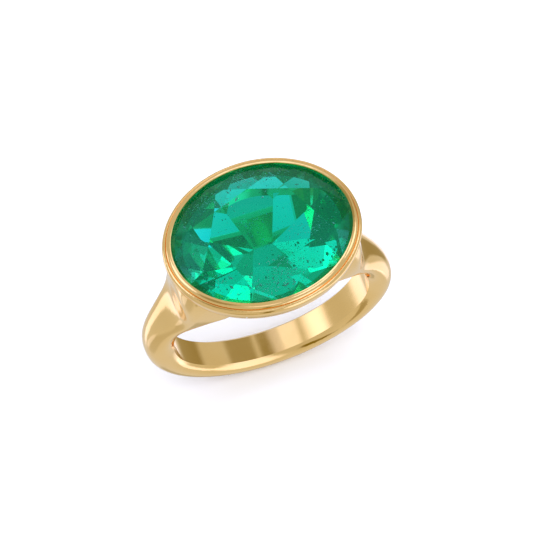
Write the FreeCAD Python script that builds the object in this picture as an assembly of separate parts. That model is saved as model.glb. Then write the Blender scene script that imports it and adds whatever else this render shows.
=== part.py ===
import FreeCAD, Part
import math
import os

# Cocktail ring: one large oval faceted emerald in a full bezel, its long axis lying along the band,
# on a plain gold band that widens into two shoulders under the bezel.
# Units are millimetres. The origin is the centre of the finger hole. +Y runs along the finger,
# +Z points out through the stone and +X follows the stone's long axis.

# Finger hole and band
HOLE_R = 8.5               # finger hole radius, a 17 mm inside diameter
EDGE_IN = 0.40             # how far the band's inner edge stands in from its widest line
BELLY_SHARE = 0.40         # height of the widest line of the band, as a share of its thickness
BELLY_MAX = 0.95           # and never higher than this above the hole
SEAM_ANGLE = 96.0          # shoulders start this far round from the foot of the band
TIP_ANGLE = 162.0          # and end this far round, below the cup
# By angle round from the foot of the band: its width, the outer radius of its crest and the
# roundness of the domed outside, where 2 is an ellipse and more is flatter on top.
# The last section is carried on unchanged to the tip.
BAND = (
    (0.0, 2.95, 10.90, 2.20),
    (32.0, 2.97, 10.87, 2.20),
    (64.0, 3.15, 10.83, 2.20),
    (90.0, 3.30, 10.75, 2.20),
    (108.0, 3.46, 10.42, 2.10),
    (122.0, 4.32, 10.12, 2.40),
    (134.0, 5.62, 10.80, 3.00),
    (144.0, 6.48, 13.05, 3.80),
    (153.0, 7.00, 14.60, 4.40),
)
SECTION_STEP = 9.0         # angle between the sections the band is drawn through
SIDE_STEPS = 4             # steps along each side of a section
SIDE_START = -0.20         # the side is drawn from a little inside the hole, then bored out
DOME_STEPS = 9             # steps along each half of a section's dome

# Bezel, as ellipses about +Z: semi-axes along X and Y of its widest line
BEZEL_A = 8.07
BEZEL_B = 6.63
LIP_INSET = 0.72           # from the widest line in to the edge of the stone opening
LIP_TOP_Z = 14.20
SEAM_INSET = 0.30          # from the widest line in to the joint between cup and rim
SEAM_Z = 13.80             # foot of the fine groove along that joint
RIM_FOOT_Z = 12.85         # ledge in the cup that the rim stands on
CUP_BOTTOM_Z = 9.05
CUP_WALL = 0.75            # thickness of the tapered cup
# Outside of the rim's lip, of the cup and of the cup's collar: inset from the widest line, height
LIP_PROFILE = (
    (SEAM_INSET, SEAM_Z),
    (0.33, 13.95),
    (0.41, 14.07),
    (0.54, 14.16),
    (LIP_INSET, LIP_TOP_Z),
)
CUP_PROFILE = (
    (2.20, CUP_BOTTOM_Z),
    (1.70, 9.80),
    (1.05, 10.80),
    (0.42, 11.85),
    (0.12, 12.60),
    (0.0, 13.35),
)
COLLAR_PROFILE = (
    (0.0, 13.35),
    (0.0, 13.53),
    (0.05, 13.71),
    (0.14, 13.83),
    (0.24, 13.87),
    (SEAM_INSET, SEAM_Z),
)

# Emerald: an oval brilliant whose main facets meet in a short keel along X
GEM_A = 7.55
GEM_B = 6.11
GIRDLE_TOP_Z = 13.81
GIRDLE_THICK = 0.34
CROWN_H = 1.35
PAVILION_H = 4.75
KEEL_HALF = 0.78           # half the length of the keel
MAINS = 8                  # main facets round the crown and round the pavilion
TABLE_SHARE = 0.58         # table radius as a share of the girdle
STAR_SHARE = 0.80          # radius of the lower tips of the star facets
LOWER_SHARE = 0.50         # height of the lower girdle facets' tips, as a share of the pavilion

# Bearing that the stone sits on, inside the cup
SEAT_TOP_Z = 13.30
SEAT_BOTTOM_Z = 12.00
SEAT_W = 1.40              # from the girdle in to the edge of the opening below the stone

CLEAR = 1.0                # how far a cutting block runs on past the metal it cuts


def vec(x, y, z):
    return FreeCAD.Vector(x, y, z)


def smooth_between(angle, column):
    """Value of one BAND column at an angle, along a smooth curve through the listed stations."""
    angle = min(abs(angle), BAND[-1][0])
    curve = Part.BSplineCurve()
    stations = [vec(s[0], s[column], 0.0) for s in BAND]
    mirrored = [vec(-p.x, p.y, 0.0) for p in reversed(stations[1:])]
    curve.interpolate(Points=mirrored + stations, Parameters=[p.x for p in mirrored + stations])
    return curve.value(angle).y


def band_section(angle):
    """Closed outline of the band at an angle from its foot, in the plane through the finger axis."""
    width = smooth_between(angle, 1)
    thick = smooth_between(angle, 2) - HOLE_R
    power = smooth_between(angle, 3)
    belly = min(BELLY_SHARE * thick, BELLY_MAX)
    half = width / 2.0
    outline = []
    for i in range(SIDE_STEPS + 1):
        share = SIDE_START + (1.0 - SIDE_START) * i / SIDE_STEPS
        outline.append((half - EDGE_IN * (1.0 - share) ** 2, belly * share))
    for i in range(1, DOME_STEPS + 1):
        turn = math.radians(90.0 * i / DOME_STEPS)
        side = half * max(math.cos(turn), 0.0) ** (2.0 / power)
        rise = belly + (thick - belly) * math.sin(turn) ** (2.0 / power)
        outline.append((side, rise))
    outline += [(-y, h) for y, h in reversed(outline[:-1])]
    a = math.radians(angle)
    points = [vec((HOLE_R + h) * math.sin(a), y, -(HOLE_R + h) * math.cos(a)) for y, h in outline]
    dome = Part.BSplineCurve()
    dome.interpolate(Points=points, Parameters=[float(i) for i in range(len(points))])
    flat = Part.LineSegment(points[-1], points[0])
    return Part.Wire([dome.toShape(), flat.toShape()])


def band_blank():
    """The whole open band from tip to tip as one solid, bored for the finger, before it is divided."""
    count = int(round(2.0 * TIP_ANGLE / SECTION_STEP))
    step = 2.0 * TIP_ANGLE / count
    wires = [band_section(-TIP_ANGLE + step * i) for i in range(count + 1)]
    reach = 2.0 * HOLE_R
    bore = Part.makeCylinder(HOLE_R, 2.0 * reach, vec(0.0, -reach, 0.0), vec(0.0, 1.0, 0.0))
    return Part.makeLoft(wires, True, False).cut(bore)


def lower_wedge():
    """Space below the two shoulder seams, a thick slab shaped like a folded fan."""
    reach = 4.0 * HOLE_R
    a = math.radians(SEAM_ANGLE)
    seam = vec(reach * math.sin(a), -reach, -reach * math.cos(a))
    corners = [
        vec(0.0, -reach, 0.0),
        seam,
        vec(seam.x, -reach, -reach),
        vec(-seam.x, -reach, -reach),
        vec(-seam.x, -reach, seam.z),
    ]
    face = Part.Face(Part.makePolygon(corners + corners[:1]))
    return face.extrude(vec(0.0, 2.0 * reach, 0.0))


def oval_wire(inset, z):
    """Ellipse of the bezel's widest line, moved in by an inset, at a height."""
    ellipse = Part.Ellipse(vec(0.0, 0.0, z), BEZEL_A - inset, BEZEL_B - inset)
    return Part.Wire([ellipse.toShape()])


def oval_solid(profile, ruled):
    return Part.makeLoft([oval_wire(inset, z) for inset, z in profile], True, ruled)


def oval_slab(inset, low, high):
    """Straight-walled oval block between two heights."""
    return Part.Face(oval_wire(inset, low)).extrude(vec(0.0, 0.0, high - low))


def ring_of(radius, z, first_turn, count):
    """Points of a round stone of girdle radius 1, stretched to the oval."""
    points = []
    for i in range(count):
        a = 2.0 * math.pi * (i + first_turn) / count
        points.append(vec(GEM_A * radius * math.cos(a), GEM_B * radius * math.sin(a), z))
    return points


def facet(points):
    return Part.Face(Part.makePolygon(points + points[:1]))


def crown_facets(girdle):
    """Table, star, main and upper girdle facets above the girdle's upper edge."""
    n = MAINS
    rise = CROWN_H * (1.0 - STAR_SHARE * math.cos(math.pi / n)) / (1.0 - TABLE_SHARE)
    table = ring_of(TABLE_SHARE, GIRDLE_TOP_Z + CROWN_H, 0.0, n)
    star = ring_of(STAR_SHARE, GIRDLE_TOP_Z + rise, 0.5, n)
    faces = [facet(table)]
    for k in range(n):
        j = (k + 1) % n
        start, mid, end = girdle[2 * k], girdle[2 * k + 1], girdle[(2 * k + 2) % (2 * n)]
        faces.append(facet([table[k], star[k], table[j]]))
        faces.append(facet([table[j], star[k], end, star[j]]))
        faces.append(facet([star[k], start, mid]))
        faces.append(facet([star[k], mid, end]))
    return faces


def keel_end(side):
    return vec(KEEL_HALF * side, 0.0, GIRDLE_TOP_Z - GIRDLE_THICK - PAVILION_H)


def main_normal(k):
    """Normal of pavilion main k, through the keel and level with the girdle where it meets it."""
    a = 2.0 * math.pi * k / MAINS
    rim = vec(GEM_A * math.cos(a), GEM_B * math.sin(a), GIRDLE_TOP_Z - GIRDLE_THICK)
    level = vec(-GEM_A * math.sin(a), GEM_B * math.cos(a), 0.0)
    side = 1.0 if math.cos(a) > 0.0 else -1.0
    return level.cross(rim - keel_end(side)).normalize()


def lower_tips():
    """Points where neighbouring mains part, on the lines along which their planes cross."""
    tips = []
    for k in range(MAINS):
        a = 2.0 * math.pi * (k + 0.5) / MAINS
        foot = keel_end(math.copysign(1.0, math.cos(a)))
        line = main_normal(k).cross(main_normal((k + 1) % MAINS))
        tips.append(foot + line * (LOWER_SHARE * PAVILION_H / line.z))
    return tips


def pavilion_facets(girdle):
    """Main and lower girdle facets below the girdle's lower edge."""
    n = MAINS
    tips = lower_tips()
    faces = []
    for k in range(n):
        j = (k + 1) % n
        start, mid, end = girdle[2 * k], girdle[2 * k + 1], girdle[(2 * k + 2) % (2 * n)]
        faces.append(facet([tips[k], mid, start]))
        faces.append(facet([tips[k], end, mid]))
        feet = [keel_end(math.copysign(1.0, tip.x)) for tip in (tips[k], tips[j])]
        if feet[0].isEqual(feet[1], 1e-6):
            feet = feet[:1]
        faces.append(facet(feet + [tips[j], end, tips[k]]))
    return faces


def emerald():
    """Closed stone whose facets are all flat."""
    upper = ring_of(1.0, GIRDLE_TOP_Z, 0.0, 2 * MAINS)
    lower = ring_of(1.0, GIRDLE_TOP_Z - GIRDLE_THICK, 0.0, 2 * MAINS)
    faces = crown_facets(upper) + pavilion_facets(lower)
    for i in range(2 * MAINS):
        j = (i + 1) % (2 * MAINS)
        faces.append(facet([upper[i], upper[j], lower[j], lower[i]]))
    solid = Part.makeSolid(Part.makeShell(faces))
    if solid.Volume < 0.0:
        solid.reverse()
    return solid


def bezel_rim(stone):
    """Thin strip round the girdle, with its lip burnished down onto the crown."""
    girdle_inset = BEZEL_A - GEM_A
    body = oval_slab(SEAM_INSET, RIM_FOOT_Z, SEAM_Z).fuse(oval_solid(LIP_PROFILE, False))
    hollow = oval_slab(girdle_inset, RIM_FOOT_Z - CLEAR, GIRDLE_TOP_Z)
    opening = oval_slab(LIP_INSET, GIRDLE_TOP_Z - CLEAR, LIP_TOP_Z + CLEAR)
    return body.cut(hollow).cut(opening).cut(stone)


def bezel_cup():
    """Tapered cup that closes in under the stone, with a collar round the rim."""
    hollow = [(inset + CUP_WALL, z) for inset, z in CUP_PROFILE]
    foot_inset, foot_z = hollow[0]
    hollow[0] = (foot_inset + CUP_WALL, foot_z - CUP_WALL)
    pocket = oval_slab(SEAM_INSET, RIM_FOOT_Z, LIP_TOP_Z)
    return bezel_envelope().cut(oval_solid(hollow, True)).cut(pocket)


def bezel_envelope():
    """Everything inside the outside skin of the cup, which also trims the shoulders."""
    return oval_solid(CUP_PROFILE, False).fuse(oval_solid(COLLAR_PROFILE, False))


def stone_seat(stone, cup):
    """Bearing ring inside the cup, cut to the underside of the stone."""
    girdle_inset = BEZEL_A - GEM_A
    outer = oval_slab(girdle_inset, SEAT_BOTTOM_Z, SEAT_TOP_Z)
    inner = oval_slab(girdle_inset + SEAT_W, SEAT_BOTTOM_Z - CLEAR, SEAT_TOP_Z + CLEAR)
    return outer.cut(inner).cut(cup).cut(stone)


def largest_solid(shape):
    return max(shape.Solids, key=lambda solid: solid.Volume)


os.makedirs("parts", exist_ok=True)

stone = emerald()
cup = bezel_cup()
blank = band_blank()
below = lower_wedge()
shoulders = blank.cut(below).cut(bezel_envelope())
left = [solid for solid in shoulders.Solids if solid.CenterOfMass.x < 0.0]
right = [solid for solid in shoulders.Solids if solid.CenterOfMass.x > 0.0]

parts = {
    "emerald": stone,
    "bezel_rim": largest_solid(bezel_rim(stone)),
    "bezel_cup": largest_solid(cup),
    "stone_seat": largest_solid(stone_seat(stone, cup)),
    "left_shoulder": max(left, key=lambda solid: solid.Volume),
    "right_shoulder": max(right, key=lambda solid: solid.Volume),
    "shank": largest_solid(blank.common(below)),
}
for name, shape in parts.items():
    shape.exportStep("parts/" + name + ".step")
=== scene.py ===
import math
import random

import bpy
from mathutils import Matrix, Vector


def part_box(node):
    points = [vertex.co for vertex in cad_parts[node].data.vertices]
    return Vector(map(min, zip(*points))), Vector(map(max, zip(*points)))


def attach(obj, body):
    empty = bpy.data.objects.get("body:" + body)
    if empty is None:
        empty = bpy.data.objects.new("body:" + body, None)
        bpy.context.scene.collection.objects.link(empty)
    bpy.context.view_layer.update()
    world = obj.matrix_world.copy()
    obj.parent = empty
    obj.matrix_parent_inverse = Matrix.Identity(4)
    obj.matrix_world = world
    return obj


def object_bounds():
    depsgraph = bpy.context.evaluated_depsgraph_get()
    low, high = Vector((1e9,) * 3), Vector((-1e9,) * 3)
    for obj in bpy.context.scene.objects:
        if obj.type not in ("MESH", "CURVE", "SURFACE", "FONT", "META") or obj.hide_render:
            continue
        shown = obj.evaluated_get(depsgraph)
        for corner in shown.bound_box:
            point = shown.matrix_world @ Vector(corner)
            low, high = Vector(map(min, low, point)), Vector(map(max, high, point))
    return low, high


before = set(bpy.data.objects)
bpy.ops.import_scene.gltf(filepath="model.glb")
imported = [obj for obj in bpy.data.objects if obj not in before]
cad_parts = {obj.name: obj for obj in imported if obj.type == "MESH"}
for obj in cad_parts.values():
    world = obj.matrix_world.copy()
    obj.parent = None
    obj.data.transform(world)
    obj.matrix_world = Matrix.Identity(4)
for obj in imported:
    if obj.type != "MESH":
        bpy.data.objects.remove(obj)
CAD_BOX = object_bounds()
MM = 0.001
rng = random.Random(7)

# ---------------------------------------------------------------- node helpers


def new_material(name):
    material = bpy.data.materials.new(name)
    material.use_nodes = True
    tree = material.node_tree
    tree.nodes.clear()
    return material, tree


def node(tree, kind, **values):
    made = tree.nodes.new(kind)
    for key, value in values.items():
        if hasattr(made, key):
            setattr(made, key, value)
        else:
            made.inputs[key].default_value = value
    return made


def link(tree, a, out, b, into):
    tree.links.new(a.outputs[out], b.inputs[into])


def coordinates(tree, scale=(1.0, 1.0, 1.0)):
    """Object coordinates in millimetres, optionally stretched."""
    place = node(tree, "ShaderNodeTexCoord")
    mapping = node(tree, "ShaderNodeMapping")
    mapping.inputs["Scale"].default_value = [s / MM for s in scale]
    link(tree, place, "Object", mapping, "Vector")
    return mapping


def noise(tree, coords, scale, detail=3.0, roughness=0.5):
    made = node(tree, "ShaderNodeTexNoise")
    made.inputs["Scale"].default_value = scale
    made.inputs["Detail"].default_value = detail
    made.inputs["Roughness"].default_value = roughness
    link(tree, coords, "Vector", made, "Vector")
    return made


def remap(tree, source, low, high, out="Fac", lo_in=0.3, hi_in=0.7):
    made = node(tree, "ShaderNodeMapRange")
    made.inputs["From Min"].default_value = lo_in
    made.inputs["From Max"].default_value = hi_in
    made.inputs["To Min"].default_value = low
    made.inputs["To Max"].default_value = high
    link(tree, source, out, made, "Value")
    return made


def ramp(tree, source, stops, out="Fac"):
    made = node(tree, "ShaderNodeValToRGB")
    elements = made.color_ramp.elements
    while len(elements) < len(stops):
        elements.new(0.5)
    for element, (position, colour) in zip(elements, stops):
        element.position = position
        element.color = (*colour, 1.0)
    link(tree, source, out, made, "Fac")
    return made


def direction(azimuth, elevation):
    """Unit vector from the ring. Azimuth 0 stands at -Y, 90 at +X."""
    a, e = math.radians(azimuth), math.radians(elevation)
    return Vector((math.sin(a) * math.cos(e), -math.cos(a) * math.cos(e), math.sin(e)))


# ---------------------------------------------------------------- materials

GOLD_LIGHT = (1.00, 0.690, 0.285)
GOLD_DEEP = (0.98, 0.655, 0.245)
GOLD_ROUGH = (0.07, 0.13)


def gold_material():
    """Polished yellow gold: slight tone drift, soft buffing haze and hair-fine wear lines."""
    material, tree = new_material("polished_gold")
    out = node(tree, "ShaderNodeOutputMaterial")
    shader = node(tree, "ShaderNodeBsdfPrincipled")
    shader.inputs["Metallic"].default_value = 1.0
    coords = coordinates(tree)
    tone = noise(tree, coords, 0.22, 2.0)
    colour = ramp(tree, tone, [(0.35, GOLD_DEEP), (0.65, GOLD_LIGHT)])
    link(tree, colour, "Color", shader, "Base Color")
    haze = noise(tree, coords, 1.6, 4.0)
    rough = remap(tree, haze, *GOLD_ROUGH)
    link(tree, rough, "Result", shader, "Roughness")
    brushed = noise(tree, coordinates(tree, (0.6, 14.0, 0.6)), 1.0, 4.0)
    bump = node(tree, "ShaderNodeBump")
    bump.inputs["Strength"].default_value = 0.05
    bump.inputs["Distance"].default_value = 0.02 * MM
    link(tree, brushed, "Fac", bump, "Height")
    link(tree, bump, "Normal", shader, "Normal")
    link(tree, shader, "BSDF", out, "Surface")
    return material


EMERALD_TINT = (0.66, 0.97, 0.97)
EMERALD_ZONE = (0.76, 1.00, 0.90)      # warmer growth zones
EMERALD_BODY = (0.0, 0.945, 0.905)
EMERALD_DENSITY = 1300.0
EMERALD_ROUGH = (0.0, 0.012)
EMERALD_GLINT = (0.20, 0.92, 0.78)      # tints the surface reflections green
EMERALD_GLOW_COLOUR = (0.0, 1.0, 0.68)         # a weak painted glow inside the stone stands in for light scattered by haze
EMERALD_GLOW_STRENGTH = 14.0


def emerald_material():
    """Clear green crystal with drifting colour zones, faint polishing haze and a painted inner glow.
    """
    material, tree = new_material("emerald_crystal")
    out = node(tree, "ShaderNodeOutputMaterial")
    shader = node(tree, "ShaderNodeBsdfPrincipled")
    zones = noise(tree, coordinates(tree, (0.8, 1.4, 1.0)), 0.45, 4.0, 0.6)
    colour = ramp(tree, zones, [(0.38, EMERALD_TINT), (0.62, EMERALD_ZONE)])
    link(tree, colour, "Color", shader, "Base Color")
    shader.inputs["Transmission Weight"].default_value = 1.0
    shader.inputs["IOR"].default_value = 1.64
    shader.inputs["Specular Tint"].default_value = (*EMERALD_GLINT, 1.0)
    polish = noise(tree, coordinates(tree), 1.8, 3.0)
    link(tree, remap(tree, polish, *EMERALD_ROUGH), "Result", shader, "Roughness")
    body = node(tree, "ShaderNodeVolumeAbsorption")
    body.inputs["Color"].default_value = (*EMERALD_BODY, 1.0)
    body.inputs["Density"].default_value = EMERALD_DENSITY
    link(tree, shader, "BSDF", out, "Surface")
    # Painted light: an emission inside the stone stands in for light scattered by its haze and lifts
    # the dark parts.
    haze = node(tree, "ShaderNodeEmission")
    haze.inputs["Color"].default_value = (*EMERALD_GLOW_COLOUR, 1.0)
    haze.inputs["Strength"].default_value = EMERALD_GLOW_STRENGTH
    both = node(tree, "ShaderNodeAddShader")
    tree.links.new(body.outputs["Volume"], both.inputs[0])
    tree.links.new(haze.outputs["Emission"], both.inputs[1])
    link(tree, both, "Shader", out, "Volume")
    return material


GOLD = gold_material()
EMERALD = emerald_material()

for name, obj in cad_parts.items():
    obj.data.materials[0] = EMERALD if name == "emerald" else GOLD

# ---------------------------------------------------------------- jardin inside the emerald

STONE_LOW, STONE_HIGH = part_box("emerald")


def mineral_material(name, low, high, rough):
    """Crystal grains whose tone drifts from one to the next."""
    material, tree = new_material(name)
    out = node(tree, "ShaderNodeOutputMaterial")
    shader = node(tree, "ShaderNodeBsdfPrincipled")
    tone = noise(tree, coordinates(tree), 2.5, 2.0)
    colour = ramp(tree, tone, [(0.35, low), (0.65, high)])
    link(tree, colour, "Color", shader, "Base Color")
    grain = noise(tree, coordinates(tree), 30.0, 2.0)
    link(tree, remap(tree, grain, *rough), "Result", shader, "Roughness")
    link(tree, shader, "BSDF", out, "Surface")
    return material


GIRDLE_DEPTH = 0.25             # table to girdle, as a share of the stone's height
TABLE_SPREAD = 0.5              # crown slopes down outside this share of the half-axes
TABLE_SKIN = 0.12 * MM          # clear layer under the table
PAVILION_SKIN = 0.12            # clear layer above the pavilion, as a share of its height
DEEPEST = 0.92                  # depth 1 stops this share of the way down
WIDEST = 0.95


def inside_stone(share_x, share_y, depth):
    """Point in the stone: shares of its half-axes, and depth from table, 0, to pavilion, 1."""
    half = (STONE_HIGH - STONE_LOW) / 2.0
    spread = min(math.hypot(share_x, share_y), WIDEST)
    girdle = STONE_HIGH.z - GIRDLE_DEPTH * (STONE_HIGH.z - STONE_LOW.z)
    slope = max(0.0, spread - TABLE_SPREAD) / (1.0 - TABLE_SPREAD)
    top = STONE_HIGH.z - TABLE_SKIN - (STONE_HIGH.z - girdle) * slope
    low = STONE_LOW.z + (girdle - STONE_LOW.z) * (spread + PAVILION_SKIN)
    return Vector((share_x * half.x, share_y * half.y, top + (low - top) * depth * DEEPEST))


WAIST = 5                       # corners round a grain's waist


def add_grain(verts, faces, centre, size, stretch):
    """Small bipyramid crystal, stretched along a random direction."""
    ahead = Vector((rng.uniform(-1, 1), rng.uniform(-1, 1), rng.uniform(-0.4, 0.4))).normalized()
    side = ahead.cross(Vector((0, 0, 1))).normalized()
    up = side.cross(ahead)
    start = len(verts)
    verts.append(centre + ahead * size * stretch)
    verts.append(centre - ahead * size * stretch)
    for i in range(WAIST):
        a = 2.0 * math.pi * i / WAIST
        reach = size * rng.uniform(0.7, 1.2)
        verts.append(centre + (side * math.cos(a) + up * math.sin(a)) * reach)
    for i in range(WAIST):
        a, b = start + 2 + i, start + 2 + (i + 1) % WAIST
        faces.append((start, a, b))
        faces.append((start + 1, b, a))


def grain_piece(name, grains, material):
    """One mesh of closed crystals, each given as centre, size and stretch."""
    verts, faces = [], []
    for centre, size, stretch in grains:
        add_grain(verts, faces, centre, size, stretch)
    mesh = bpy.data.meshes.new(name)
    mesh.from_pydata(verts, [], faces)
    mesh.materials.append(material)
    piece = bpy.data.objects.new(name, mesh)
    bpy.context.scene.collection.objects.link(piece)
    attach(piece, "root")
    return piece


# Wisps of grains: centre and half size as shares of the stone's half-axes, depth, count
WISPS = (
    (-0.38, 0.60, 0.26, 0.14, 0.12, 150),
    (0.12, 0.72, 0.30, 0.10, 0.10, 170),
    (0.10, -0.62, 0.24, 0.20, 0.14, 210),
    (-0.18, -0.72, 0.16, 0.14, 0.16, 110),
    (0.45, -0.20, 0.20, 0.10, 0.14, 70),
    (-0.62, -0.42, 0.16, 0.20, 0.14, 70),
    (-0.05, 0.15, 0.20, 0.14, 0.20, 50),
    (0.0, 0.0, 0.75, 0.75, 0.35, 170),
)
WISP_GRAIN = (0.014, 0.048)     # smallest and largest grain of a wisp, in mm
WISP_STRETCH = (1.0, 2.6)


def wisp_grains():
    grains = []
    for x, y, wide, tall, depth, count in WISPS:
        lean = rng.uniform(-0.4, 0.4)
        for i in range(count):
            u, v = rng.gauss(0, 0.5), rng.gauss(0, 0.5)
            where = inside_stone(x + wide * u, y + tall * (v + lean * u), depth + 0.15 * u * v)
            grains.append((where, MM * rng.uniform(*WISP_GRAIN), rng.uniform(*WISP_STRETCH)))
    return grains


# Feathers, thin flat cracks that catch the light: centre as shares of the half-axes, count
FEATHERS = (
    (-0.55, -0.55, 9), (-0.35, -0.62, 9), (-0.12, -0.62, 10), (0.10, -0.75, 8), (0.60, -0.12, 6),
    (0.74, 0.10, 6), (0.55, 0.48, 7), (0.15, 0.66, 9), (-0.35, 0.58, 9), (-0.78, 0.05, 7),
)
FEATHER_SPREAD = 0.11
FEATHER_DEPTH = (0.02, 0.10)
FEATHER_SIZE = (0.06, 0.22)     # half size in mm
FEATHER_THIN = (0.04, 0.12)     # thickness as a share of the size


def feather_grains():
    grains = []
    for x, y, count in FEATHERS:
        for i in range(count):
            u, v = rng.gauss(0, FEATHER_SPREAD), rng.gauss(0, FEATHER_SPREAD)
            where = inside_stone(x + u, y + v, rng.uniform(*FEATHER_DEPTH))
            grains.append((where, MM * rng.uniform(*FEATHER_SIZE), rng.uniform(*FEATHER_THIN)))
    return grains


# Dark crystals, each cluster given by its centre as shares of the half-axes
SPECKS = (
    (-0.38, 0.42), (0.78, 0.12), (-0.62, -0.50), (0.22, 0.60),
    (-0.15, -0.70), (-0.80, -0.15), (0.62, -0.45),
)
SPECKS_EACH = 7
SPECK_SPREAD = 0.055
SPECK_SIZE = (0.02, 0.055)      # half size in mm
SPECK_STRETCH = (0.3, 4.0)


def speck_grains():
    grains = []
    for x, y in SPECKS:
        for i in range(SPECKS_EACH):
            u, v = rng.gauss(0, SPECK_SPREAD), rng.gauss(0, SPECK_SPREAD)
            where = inside_stone(x + u, y + v, rng.uniform(0.12, 0.40))
            grains.append((where, MM * rng.uniform(*SPECK_SIZE), rng.uniform(*SPECK_STRETCH)))
    return grains


# Each mineral: its darker tone, its lighter tone, lowest and highest roughness
PALE = ((0.75, 0.80, 0.70), (1.0, 0.96, 0.90), (0.15, 0.45))
DARK = ((0.01, 0.02, 0.02), (0.05, 0.06, 0.05), (0.2, 0.5))
PALE_MINERAL = mineral_material("pale_mineral", *PALE)
DARK_MINERAL = mineral_material("dark_mineral", *DARK)
grain_piece("emerald_wisps", wisp_grains(), PALE_MINERAL)
grain_piece("emerald_feathers", feather_grains(), PALE_MINERAL)
grain_piece("emerald_specks", speck_grains(), DARK_MINERAL)

# ---------------------------------------------------------------- floor and light

FOOT_Z = CAD_BOX[0].z
FLOOR_FLAT_R = 0.36
FLOOR_RISE_R = 0.12
FLOOR_RISE_H = 0.05
FLAT_RINGS = 14
RISE_RINGS = 16
SPOKES = 96
FLOOR_WHITE = (0.93, 0.93, 0.93)


def floor_material():
    material, tree = new_material("studio_paper")
    out = node(tree, "ShaderNodeOutputMaterial")
    shader = node(tree, "ShaderNodeBsdfDiffuse")
    shader.inputs["Color"].default_value = (*FLOOR_WHITE, 1.0)
    link(tree, shader, "BSDF", out, "Surface")
    return material


def studio_floor():
    """A wide round sheet, flat under the ring and lifting at its far edge, kept out of reflections."""
    rings = [(FLOOR_FLAT_R * (i + 1) / FLAT_RINGS, 0.0) for i in range(FLAT_RINGS)]
    for i in range(RISE_RINGS):
        t = (i + 1) / RISE_RINGS
        rings.append((FLOOR_FLAT_R + FLOOR_RISE_R * t, FLOOR_RISE_H * t * t))
    verts = [(0.0, 0.0, FOOT_Z)]
    for radius, lift in rings:
        for s in range(SPOKES):
            a = 2 * math.pi * s / SPOKES
            verts.append((radius * math.cos(a), radius * math.sin(a), FOOT_Z + lift))
    faces = [(0, 1 + s, 1 + (s + 1) % SPOKES) for s in range(SPOKES)]
    for r in range(len(rings) - 1):
        a, b = 1 + r * SPOKES, 1 + (r + 1) * SPOKES
        for s in range(SPOKES):
            t = (s + 1) % SPOKES
            faces.append((a + s, b + s, b + t, a + t))
    mesh = bpy.data.meshes.new("studio_floor")
    mesh.from_pydata(verts, [], faces)
    mesh.polygons.foreach_set("use_smooth", [True] * len(mesh.polygons))
    mesh.materials.append(floor_material())
    obj = bpy.data.objects.new("studio_floor", mesh)
    bpy.context.scene.collection.objects.link(obj)
    obj.visible_glossy = False
    obj.visible_transmission = False
    return obj


LIGHT_DISTANCE = 0.45
# Square area lights: azimuth, elevation, side in metres, watts, and whether the stone passes it on
LIGHTS = {
    "overhead": (20, 82, 0.40, 1.3, False),
    "left_sparkle": (-80, 48, 0.16, 0.16, True),
    "right_sparkle": (75, 48, 0.16, 0.16, True),
    "back_sparkle": (150, 45, 0.16, 0.16, True),
    "front_sparkle": (-5, 50, 0.12, 0.08, True),
}


def softbox(name, azimuth, elevation, side, power, sparkle):
    """Area light at a direction from the ring, facing it, unseen in reflections."""
    back = direction(azimuth, elevation)
    data = bpy.data.lights.new(name, "AREA")
    data.shape = "RECTANGLE"
    data.size = data.size_y = side
    data.energy = power
    obj = bpy.data.objects.new(name, data)
    bpy.context.scene.collection.objects.link(obj)
    obj.location = back * LIGHT_DISTANCE
    obj.visible_glossy = False
    obj.visible_transmission = sparkle
    obj.rotation_mode = "QUATERNION"
    obj.rotation_quaternion = (-back).to_track_quat("-Z", "Y")
    return obj


studio_floor()
for name, light in LIGHTS.items():
    softbox(name, *light)

WORLD_LOW = 0.72            # brightness of the surroundings straight down, level and straight up
WORLD_LEVEL = 0.60
WORLD_HIGH = 0.62
# Soft cards and dark flags round the ring: azimuth, elevation, half width and half height in
# degrees, turn, and how much brighter or darker than the surroundings each one is
CARD_TINT = (1.0, 1.10, 1.85)     # cool daylight from the cards
FLAG_TINT = (0.85, 0.95, 1.30)    # flags take most from the blue and leave a warm shade
CARDS = {
    "front_right_card": (18, -13, 14, 22, 0, 0.62),
    "front_streak": (42, -40, 5, 20, 35, 0.55),
    "right_card": (76, -46, 16, 16, 0, 0.45),
    "right_flag": (113, -28, 8, 22, 0, -0.36),
    "back_right_card": (138, -50, 9, 16, 0, 0.42),
    "left_card": (-122, -28, 7, 28, 0, 0.6),
    "left_streak": (-97, -43, 5, 14, -30, 0.25),
    "left_flag": (-75, -45, 18, 15, 0, -0.12),
    "front_flag": (-8, -23, 4, 15, 0, -0.5),
    "front_left_flag": (-28, -44, 12, 7, 0, -0.32),
    "nadir_flag": (0, -89, 9, 9, 0, -0.25),
    "top_right_card": (107, 72, 12, 10, 0, 0.8),
    "back_left_card": (-165, 62, 20, 9, 0, 0.45),
    "left_sky_card": (-100, 38, 18, 20, 0, 0.9),
    "right_sky_card": (84, 34, 14, 16, 0, 0.9),
    "front_right_sky_card": (38, 55, 12, 14, 0, 0.7),
    "front_sky_card": (-10, 35, 12, 12, 0, 0.4),
    "back_sky_card": (165, 28, 22, 10, 0, 0.6),
    "back_sky_flag": (165, 67, 12, 10, 0, -0.35),
    "front_left_sky_flag": (-55, 45, 14, 25, 0, -0.3),
    "back_right_sky_flag": (125, 40, 10, 20, 0, -0.3),
}


def along(tree, place, axis, reach):
    """How far a direction leans along an axis, where 1 is the card's edge."""
    made = node(tree, "ShaderNodeVectorMath", operation="DOT_PRODUCT")
    made.inputs[1].default_value = axis / reach
    link(tree, place, "Generated", made, "Vector")
    return made


def maths(tree, operation, first, second=None):
    """Math node fed by sockets or by plain numbers."""
    made = node(tree, "ShaderNodeMath", operation=operation)
    for socket, value in zip(made.inputs, (first, second)):
        if isinstance(value, (int, float)):
            socket.default_value = value
        elif value is not None:
            tree.links.new(value, socket)
    return made.outputs["Value"]


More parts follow.
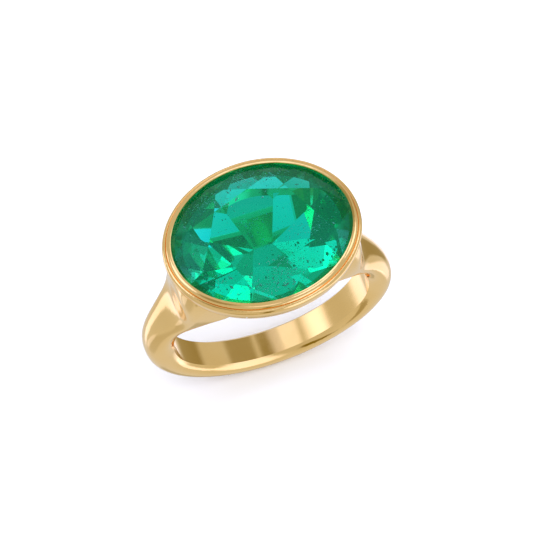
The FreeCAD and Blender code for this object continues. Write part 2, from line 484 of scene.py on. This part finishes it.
def card_light(tree, place, azimuth, elevation, half_width, half_height, turn, strength):
    """Brightness added by one soft-edged oval card."""
    ahead = direction(azimuth, elevation)
    level = direction(azimuth + 90.0, 0.0)
    upright = level.cross(ahead) * -1.0
    t = math.radians(turn)
    across = level * math.cos(t) + upright * math.sin(t)
    up = upright * math.cos(t) - level * math.sin(t)
    u = along(tree, place, across, math.sin(math.radians(half_width))).outputs["Value"]
    v = along(tree, place, up, math.sin(math.radians(half_height))).outputs["Value"]
    front = along(tree, place, ahead, 1.0).outputs["Value"]
    r2 = maths(tree, "ADD", maths(tree, "MULTIPLY", u, u), maths(tree, "MULTIPLY", v, v))
    edge = node(tree, "ShaderNodeMapRange", interpolation_type="SMOOTHSTEP")
    edge.inputs["From Min"].default_value = 1.5
    edge.inputs["From Max"].default_value = 0.5
    tree.links.new(r2, edge.inputs["Value"])
    facing = maths(tree, "GREATER_THAN", front, 0.0)
    return maths(tree, "MULTIPLY", maths(tree, "MULTIPLY", edge.outputs["Result"], facing), strength)


def studio_world():
    """Grey surroundings with the soft cards and flags added to them."""
    world = bpy.data.worlds.new("studio")
    bpy.context.scene.world = world
    world.use_nodes = True
    tree = world.node_tree
    tree.nodes.clear()
    out = node(tree, "ShaderNodeOutputWorld")
    back = node(tree, "ShaderNodeBackground")
    place = node(tree, "ShaderNodeTexCoord")
    split = node(tree, "ShaderNodeSeparateXYZ")
    link(tree, place, "Generated", split, "Vector")
    height = maths(tree, "MULTIPLY_ADD", split.outputs["Z"], 0.5)
    height.node.inputs[2].default_value = 0.5
    sky = node(tree, "ShaderNodeValToRGB")
    sky.color_ramp.elements.new(0.5)
    stops = ((0.0, WORLD_LOW), (0.5, WORLD_LEVEL), (1.0, WORLD_HIGH))
    for element, (position, grey) in zip(sky.color_ramp.elements, stops):
        element.position = position
        element.color = (grey, grey, grey, 1.0)
    tree.links.new(height, sky.inputs["Fac"])
    total = sky.outputs["Color"]
    for card in CARDS.values():
        light = card_light(tree, place, *card)
        tint = FLAG_TINT if card[-1] < 0 else CARD_TINT
        made = node(tree, "ShaderNodeVectorMath", operation="MULTIPLY_ADD")
        made.inputs[1].default_value = tint
        tree.links.new(light, made.inputs[0])
        tree.links.new(total, made.inputs[2])
        total = made.outputs["Vector"]
    tree.links.new(total, back.inputs["Color"])
    link(tree, back, "Background", out, "Surface")


studio_world()
bpy.context.scene.view_settings.view_transform = "Standard"
bpy.context.scene.cycles.glossy_bounces = 10
bpy.context.scene.cycles.max_bounces = 16

# ---------------------------------------------------------------- camera

VIEW_AZIMUTH = -15.35
VIEW_ELEVATION = 66.80
VIEW_ROLL = -4.04
VIEW_DISTANCE = 300.0 * MM
SENSOR = 36.0
FRAME_WIDTH = 43.980526 * MM    # width of the view in the plane through the hole's centre
HOLE_RIGHT = 0.030531 * MM      # where the hole's centre sits from the middle of that view
HOLE_DOWN = 3.015100 * MM
CLIP = (0.01, 10.0)


def studio_camera():
    """Looks down on the stone from the front left, rolled slightly."""
    back = direction(VIEW_AZIMUTH, VIEW_ELEVATION)
    level = direction(VIEW_AZIMUTH + 90.0, 0.0)
    r = math.radians(VIEW_ROLL)
    upright = back.cross(level)
    right = level * math.cos(r) + upright * math.sin(r)
    up = upright * math.cos(r) - level * math.sin(r)
    data = bpy.data.cameras.new("camera")
    data.sensor_width = SENSOR
    data.lens = VIEW_DISTANCE * SENSOR / FRAME_WIDTH
    data.clip_start, data.clip_end = CLIP
    obj = bpy.data.objects.new("camera", data)
    bpy.context.scene.collection.objects.link(obj)
    place = back * VIEW_DISTANCE
    target = up * HOLE_DOWN - right * HOLE_RIGHT
    z = (place - target).normalized()
    x = (right - z * right.dot(z)).normalized()
    y = z.cross(x)
    obj.matrix_world = Matrix((
        (x.x, y.x, z.x, place.x),
        (x.y, y.y, z.y, place.y),
        (x.z, y.z, z.z, place.z),
        (0.0, 0.0, 0.0, 1.0),
    ))
    bpy.context.scene.camera = obj


studio_camera()
